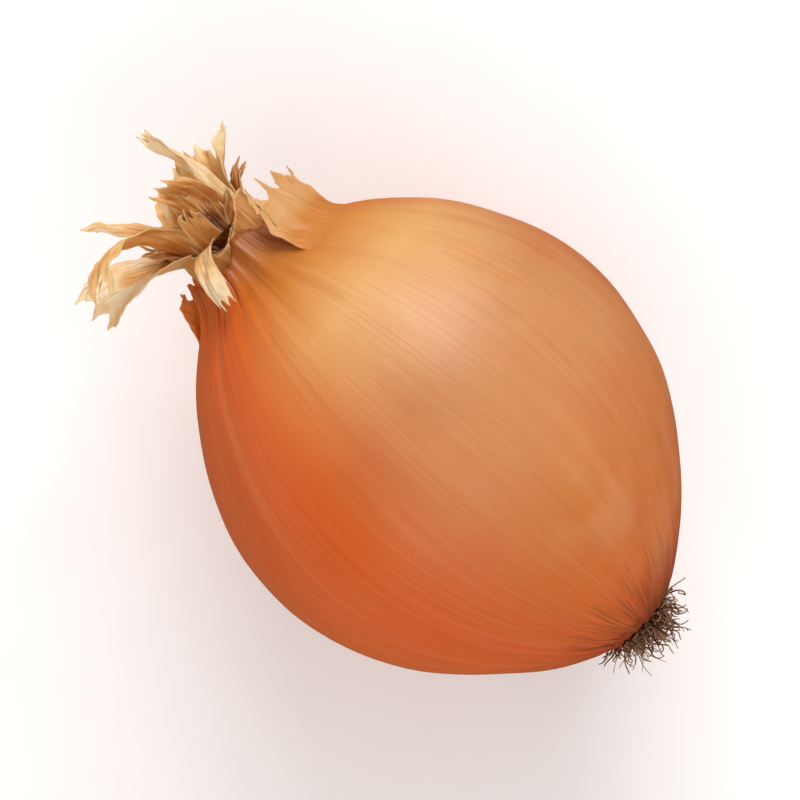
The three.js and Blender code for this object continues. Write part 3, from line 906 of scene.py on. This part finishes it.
# %% Sheaths of the neck
SHEATH_WORDS = ("foot", "top", "end", "tone", "squash", "seed")
SHEATHS = [dict(zip(SHEATH_WORDS, row)) for row in (
    (6.3, 6.5, 84.0, 0.5, 0, 1),
    (5.0, 5.2, 83.6, 0.6, 0.06, 2),
    (3.6, 3.9, 83.2, 0.66, 0.14, 3),
    (2.1, 2.3, 82.4, 0.8, 0.35, 4),
)]
SHEATH_COLUMNS = 144
SHEATH_ROWS = 36
SHEATH_THICKNESS = 0.3
MOUTH_DIP = 3.5
STUB_WRINKLES = 7
WRINKLE_RELIEF = 0.45
FINE_WRINKLES = 23
FINE_WRINKLE_RELIEF = 0.16
SHEATH_TEETH = 22
SHEATH_TOOTH = 1.1
SHEATH_CROWDING = 0.8
CLOSED_SHARE = 0.25
FOOT_HOLE = 0.02


def sheath_sheet(sheath):
    """One sheath, from its closed foot in the throat to its torn mouth, and what its finish reads."""
    bearing = np.linspace(0, 2 * math.pi, SHEATH_COLUMNS, endpoint=False)[None, :]
    step = np.linspace(0, 1, SHEATH_ROWS)[:, None]
    start = COLLAR - THROAT_DEPTH + 3 * GAP
    seed = sheath["seed"]
    teeth = SHEATH_TOOTH * ragged(bearing, SHEATH_TEETH, seed, 2 * math.pi)
    top = sheath["end"] - 1 + teeth - MOUTH_DIP * np.clip(np.cos(bearing), 0, 1) ** 2
    along = start + (top - start) * step**SHEATH_CROWDING
    rise = np.clip((along - COLLAR) / NECK_LENGTH, 0, 1)
    folds = np.cos(STUB_WRINKLES * bearing + 2 * rise + seed - 1)
    folds = folds + 0.7 * np.cos(3 * bearing + 2 * seed) + 0.5 * np.cos(11 * bearing - 3 * rise + seed)
    fine = FINE_WRINKLE_RELIEF * np.cos(FINE_WRINKLES * bearing + 5 * rise + seed) * (0.3 + rise)
    radius = sheath["foot"] + (sheath["top"] - sheath["foot"]) * step
    radius = radius + WRINKLE_RELIEF * folds * rise + fine
    radius = radius * (1 + sheath["squash"] * np.cos(2 * bearing + seed))
    radius = radius * np.clip(step / CLOSED_SHARE, FOOT_HOLE, 1)
    strip = np.stack([radius * np.cos(bearing), radius * np.sin(bearing), along], axis=-1)
    return lay_down(upright(bearing, radius, along)), {
        "strip": strip * MM, "torn": np.exp(-(top - along) / TEAR_WIDTH),
        "tone": np.full(along.shape, sheath["tone"]),
    }


sheath_sheets = [sheath_sheet(sheath) for sheath in SHEATHS]
neck_sheaths = join_sheets("neck_sheaths", sheath_sheets, dry_leaf, True, SHEATH_THICKNESS, -1)
stand_for(neck_sheaths, "dry_neck")
print("Neck sheaths:", len(SHEATHS))

# %% [markdown]
# ## Leaf ends and shreds
# The strips leave from the rim of the sheaths. Short shreds fill in between them, drawn by chance
# from a fixed seed between a smallest and a largest shred, because no one would place each of them
# by hand. Every leaf is browner at its foot, where it stayed damp longest, and bleached towards its
# tip.

# %% Leaf ends round the mouth
LEAF_STEPS = (44, 76)
SHRED_STEPS = (15, 40)
SHRED_COUNT = 12
SHRED_LOW = (-180, 1.8, 5, 0, 25, -2, -60, -0.5, 0.2, 0.2, 0.1)
SHRED_HIGH = (180, 4.2, 10, 30, 85, 2, 60, 0.9, 0.6, 0.5, 0.75)
SHRED_SEED = 12
DAMP_REACH = 4
DAMP_TONE = 0.3
BLEACHED_TONE = 0.35
PATTERN_STEP = 25


def leaf_sheet(number, leaf):
    """A leaf end or a shred, and what its finish reads; its number keeps its pattern its own."""
    steps = LEAF_STEPS if number < len(LEAVES) else SHRED_STEPS
    points, aside, travelled, torn = leaf_grid(leaf, STUB_FOOT, LEAF_CREASE_RELIEF, *steps)
    strip = np.stack([aside, np.full(aside.shape, PATTERN_STEP * number), travelled], axis=-1)
    damp = DAMP_TONE * np.exp(-travelled / DAMP_REACH)
    bleached = BLEACHED_TONE * (travelled / leaf["length"]) ** 2
    tone = np.clip(leaf["tone"] + damp - bleached, 0, 1)
    return lay_down(points), {"strip": strip * MM, "torn": torn, "tone": tone}


chance = np.random.default_rng(SHRED_SEED)
shreds = [dict(zip(LEAF_WORDS, chance.uniform(SHRED_LOW, SHRED_HIGH))) for _ in range(SHRED_COUNT)]
leaf_sheets = [leaf_sheet(number, leaf) for number, leaf in enumerate(LEAVES + shreds)]
leaf_ends = join_sheets("leaf_ends", leaf_sheets, dry_leaf, False, LEAF_THICKNESS, 0)
stand_for(leaf_ends, "dry_neck")
print("Leaf ends and shreds:", len(leaf_sheets))

# %% [markdown]
# ## The root plate
# The root plate is the onion's stem: a low, knobbly dome in a dish at the bulb's lower end. It is
# small and mostly hidden by roots, so a dome by a rule is enough, and no sculpting is needed.

# %% A knobbly dome
PLATE_COLUMNS = 96
PLATE_ROWS = 22
PLATE_KNOBS = 0.2
PLATE_BLUNTNESS = 0.6
PLATE_HOLE = 0.002
KNOBBLY_SHARE = 0.4
PLATE_REACH = 0.15
PLATE_TONE = 0.8

bearing = np.linspace(0, 2 * math.pi, PLATE_COLUMNS, endpoint=False)[None, :]
step = np.linspace(0, 1, PLATE_ROWS)[:, None]
knobs = PLATE_KNOBS * (np.sin(9 * bearing + 8 * step) + 0.75 * np.sin(17 * bearing - 13 * step))
knobs = knobs * np.sin(math.pi * step)
half_height = DISH_FLOOR / 2
dome = np.clip(np.sin(math.pi * step) ** PLATE_BLUNTNESS, PLATE_HOLE, 1)
radius = PLATE_RADIUS * dome - np.abs(knobs) / 4
along = half_height - (half_height - GAP / 2) * np.cos(math.pi * step) + knobs * (step < KNOBBLY_SHARE)
plate_points = upright(bearing, radius, along)
plate_faces = grid_faces(PLATE_ROWS, PLATE_COLUMNS, True)
plate_faces.append(list(range(PLATE_COLUMNS))[::-1])
plate_faces.append(list(range((PLATE_ROWS - 1) * PLATE_COLUMNS, PLATE_ROWS * PLATE_COLUMNS)))
plate_count = PLATE_ROWS * PLATE_COLUMNS
root_plate = make_piece(
    "root_plate", lay_down(plate_points), plate_faces, dry_root,
    reach=np.full(plate_count, PLATE_REACH), tone=np.full(plate_count, PLATE_TONE),
)
stand_for(root_plate, "root_tuft")
print("Root plate:", len(plate_faces), "faces")

# %% [markdown]
# ## Roots
# Hundreds of roots grew from the root plate, and they dried to a curly mat with a few long hairs. A
# particle system could grow them, but bristles like these are what Geometry Nodes do best: points
# are scattered over the plate, a straight line stands on each, noise curls the lines, and a small
# profile turns them into tubes that taper. The tree runs twice, once for the mat and once for the
# hairs. It works on the upright plate, where "no root goes back into the bulb" is simply a highest
# height.

# %% Roots as bristles
ROOT_POINTS = 24
ROOT_SIDES = 5
SHORT_ROOTS = 2.5
ROOT_TIP = 0.35
ROOT_VARIETY = 60.0
ROOT_CEILING = 0.6


def root_tree():
    """A tree that grows curly, tapering roots on a plate, and stores the way to the tip and a tone."""
    tree, given = new_tree("dry_roots", {
        "Roots per area": "Float", "Shortest": "Float", "Longest": "Float", "Thickness": "Float",
        "Tilt": "Float", "Curl": "Float", "Curl size": "Float", "Highest": "Float",
        "Seed": "Int", "Finish": "Material",
    })
    add = partial(add_node, tree)
    seed = {"Seed": given["Seed"]}
    scatter = {0: given["Geometry"], "Density": given["Roots per area"], **seed}
    scattered = add("GeometryNodeDistributePointsOnFaces", scatter)
    line = add("GeometryNodeCurvePrimitiveLine", {"Start": (0, 0, 0), "End": (0, 0, 1)})
    line = add("GeometryNodeResampleCurve", {0: line, "Count": ROOT_POINTS})

    # Most roots are short, and each leans its own way
    lot = add("FunctionNodeRandomValue", {2: 0.0, 3: 1.0, **seed}, 1, data_type="FLOAT")
    short = add("ShaderNodeMath", {0: lot, 1: SHORT_ROOTS}, operation="POWER")
    length = add("ShaderNodeMapRange", {0: short, 3: given["Shortest"], 4: given["Longest"]})
    any_way = {0: (-1, -1, -1), 1: (1, 1, 1), **seed}
    spread = add("FunctionNodeRandomValue", any_way, data_type="FLOAT_VECTOR")
    tilt = add("ShaderNodeVectorMath", {0: spread, "Scale": given["Tilt"]}, operation="SCALE")
    lean = add("FunctionNodeEulerToRotation", {0: tilt})
    facing = add("FunctionNodeRotateRotation", {0: scattered.node.outputs["Rotation"], 1: lean})
    stand = {0: scattered, "Instance": line, "Rotation": facing, "Scale": length}
    standing = add("GeometryNodeInstanceOnPoints", stand)
    toned = {0: standing, "Name": "tone", "Value": lot}
    lines = add("GeometryNodeStoreNamedAttribute", toned, domain="INSTANCE")
    lines = add("GeometryNodeRealizeInstances", {0: lines})
    factor = add("GeometryNodeSplineParameter", out="Factor")
    lines = add("GeometryNodeStoreNamedAttribute", {0: lines, "Name": "reach", "Value": factor})

    # Curl grows towards the tip, and every root has its own
    reach = add("GeometryNodeInputNamedAttribute", {"Name": "reach"}, data_type="FLOAT")
    tone = add("GeometryNodeInputNamedAttribute", {"Name": "tone"}, data_type="FLOAT")
    own = add("ShaderNodeMath", {0: tone, 1: ROOT_VARIETY}, operation="MULTIPLY")
    scale = add("ShaderNodeMath", {0: 1.0, 1: given["Curl size"]}, operation="DIVIDE")
    noise = {"Vector": add("GeometryNodeInputPosition"), "W": own, "Scale": scale, "Detail": 1.0}
    waves = add("ShaderNodeTexNoise", noise, "Color", noise_dimensions="4D")
    waves = add("ShaderNodeVectorMath", {0: waves, 1: (0.5, 0.5, 0.5)}, operation="SUBTRACT")
    amount = add("ShaderNodeMath", {0: reach, 1: given["Curl"]}, operation="MULTIPLY")
    curled = add("ShaderNodeVectorMath", {0: waves, "Scale": amount}, operation="SCALE")
    lines = add("GeometryNodeSetPosition", {0: lines, "Offset": curled})

    # No root goes back into the bulb
    parts = add("ShaderNodeSeparateXYZ", {0: add("GeometryNodeInputPosition")}).node.outputs
    kept_low = add("ShaderNodeMath", {0: parts[1], 1: given["Highest"]}, operation="MINIMUM")
    held = add("ShaderNodeCombineXYZ", {0: parts[0], 1: kept_low, 2: parts[2]})
    lines = add("GeometryNodeSetPosition", {0: lines, "Position": held})

    profile = add("GeometryNodeCurvePrimitiveCircle", {"Resolution": ROOT_SIDES, "Radius": 0.5})
    thinning = add("ShaderNodeMapRange", {0: reach, 3: 1.0, 4: ROOT_TIP})
    girth = add("ShaderNodeMath", {0: thinning, 1: given["Thickness"]}, operation="MULTIPLY")
    tube = {0: lines, "Profile Curve": profile, "Scale": girth, "Fill Caps": True}
    end_tree(tree, add("GeometryNodeCurveToMesh", tube), given["Finish"])
    return tree


ROOTS = {
    "root_mat": {
        "Roots per area": 6.5e6, "Shortest": 2 * MM, "Longest": 5 * MM, "Thickness": 0.4 * MM,
        "Tilt": 0.45, "Curl": 7 * MM, "Curl size": 2 * MM, "Seed": 3,
    },
    "root_hairs": {
        "Roots per area": 0.35e6, "Shortest": 4 * MM, "Longest": 7.5 * MM, "Thickness": 0.28 * MM,
        "Tilt": 0.5, "Curl": 9 * MM, "Curl size": 4.5 * MM, "Seed": 8,
    },
}
dry_roots = root_tree()
soil_rows = PLATE_ROWS // 2
soil_side = (plate_points[:soil_rows] * MM).reshape(-1, 3)
soil_faces = grid_faces(soil_rows, PLATE_COLUMNS, True)
for name, values in ROOTS.items():
    roots = make_piece(name, soil_side, soil_faces, dry_root)
    grow(roots, dry_roots, {**values, "Highest": ROOT_CEILING * MM, "Finish": dry_root})
    move_points(roots.data, lambda places: lay_down(places / MM))
    stand_for(roots, "root_tuft")
    print(name + ":", len(roots.data.polygons), "faces")

# %% [markdown]
# ## The floor
# The onion lies on a sheet of white studio paper. Paper scatters light evenly, so it is matt, with
# the faintest mottling. It glows a little, as paper on a light table does, and more where the
# lights no longer reach, to stay white as far as it shows. It is left out of reflections, so that
# the skin's flanks keep their colour. A plane is all it takes, and it is only there to catch the
# shadow: it isn't part of the onion.

# %% Studio paper
FLOOR_SIDE = 4000
MOTTLE_SIZE = 14
PAPER_BUMP = 0.02
PAPER_GLOW = 0.12
FAR_GLOW = 0.9
GLOW_START = 250
GLOW_FULL = 800


def paper_finish(name):
    """White studio paper with a glow that grows with the way from the onion."""
    material, tree = new_material(name)
    add = partial(add_node, tree)
    place = add("ShaderNodeTexCoord", out="Object")
    mottle = streaks(tree, place, MOTTLE_SIZE, MOTTLE_SIZE)
    colour = add("ShaderNodeValToRGB", {0: mottle}, stops=[(0, "#F2F3F4"), (1, "#F6F7F8")])
    roughness = add("ShaderNodeMapRange", {0: mottle, 3: 0.85, 4: 0.95})
    away = add("ShaderNodeVectorMath", {0: place}, "Value", operation="LENGTH")
    growing = {0: away, 1: GLOW_START * MM, 2: GLOW_FULL * MM, 3: PAPER_GLOW, 4: FAR_GLOW}
    glow = add("ShaderNodeMapRange", growing)
    finish_material(tree, colour, roughness, mottle, PAPER_BUMP * MM, {
        "Specular IOR Level": 0.2, "Emission Color": linear("#FFFFFF"), "Emission Strength": glow,
    })
    return material


paper = paper_finish("studio_paper_matt_white")
corners = np.array([(-1, -1, 0), (1, -1, 0), (1, 1, 0), (-1, 1, 0)]) * FLOOR_SIDE / 2 * MM
floor = make_piece("floor", corners, [[0, 1, 2, 3]], paper)
floor.visible_glossy = False
print("Floor:", FLOOR_SIDE, "mm square")

# %% [markdown]
# ## Light
# Satin skin shows the shape of what it reflects, so only one light is mirrored: a softbox behind
# the onion, whose reflection is the broad, soft glow on the upper side. A wide light overhead and
# two fills, one on the side of the roots and one low beside the flank, open the shadows and are
# kept out of reflections. A dim, warm surround does the rest, and the flanks show the deeper orange
# that the skin's colour paints on them as shade.

# %% Soft lights
SURROUND_STRENGTH = 0.16
PHOTO_TURN = math.radians(-137.8)
middle = (cad_low + cad_high) / 2
photo_right = Vector((math.cos(PHOTO_TURN), math.sin(PHOTO_TURN), 0))
photo_up = Vector((-math.sin(PHOTO_TURN), math.cos(PHOTO_TURN), 0))


def soft_light(name, aside, ahead, above, side, watts, mirrored):
    """A square soft light that faces the onion from a place in the picture; gloss may mirror it."""
    lamp = bpy.data.lights.new(name, "AREA")
    lamp.shape = "SQUARE"
    lamp.size = side
    lamp.energy = watts
    light = bpy.data.objects.new(name, lamp)
    light.location = middle + photo_right * aside + photo_up * ahead + Vector((0, 0, above))
    light.visible_glossy = mirrored
    light.rotation_mode = "QUATERNION"
    light.rotation_quaternion = (middle - light.location).to_track_quat("-Z", "Y")
    bpy.context.scene.collection.objects.link(light)


soft_light("back_softbox", aside=0.05, ahead=0.75, above=0.5, side=0.6, watts=6.6, mirrored=True)
soft_light("overhead_softbox", aside=0, ahead=0, above=0.9, side=1.2, watts=3.5, mirrored=False)
soft_light("root_fill", aside=0.2, ahead=-0.6, above=0.5, side=0.9, watts=3.2, mirrored=False)
soft_light("flank_fill", aside=-0.8, ahead=-0.25, above=0.12, side=0.5, watts=1.5, mirrored=False)
world = bpy.data.worlds.new("studio")
world.use_nodes = True
surround = world.node_tree.nodes["Background"].inputs
surround["Color"].default_value = linear("#FFDDC0")
surround["Strength"].default_value = SURROUND_STRENGTH
bpy.context.scene.world = world
bpy.context.scene.view_settings.view_transform = "Standard"
print("Four soft lights and a dim surround")

# %% [markdown]
# ## Camera
# The onion is looked at from straight above, with its neck to the upper left. A long lens keeps its
# outline true, and the distance follows from how wide a piece of the floor the picture should show.

# %% Camera above the onion
LENS = 120
SENSOR = 36
FRAME_WIDTH = 0.112

camera_data = bpy.data.cameras.new("camera")
camera_data.lens = LENS
camera_data.sensor_width = SENSOR
camera = bpy.data.objects.new("camera", camera_data)
camera.location = middle + Vector((0, 0, FRAME_WIDTH * LENS / SENSOR))
camera.rotation_euler = (0, 0, PHOTO_TURN)
bpy.context.scene.collection.objects.link(camera)
bpy.context.scene.camera = camera
print("Camera", round(FRAME_WIDTH * LENS / SENSOR, 3), "m above the onion's middle")
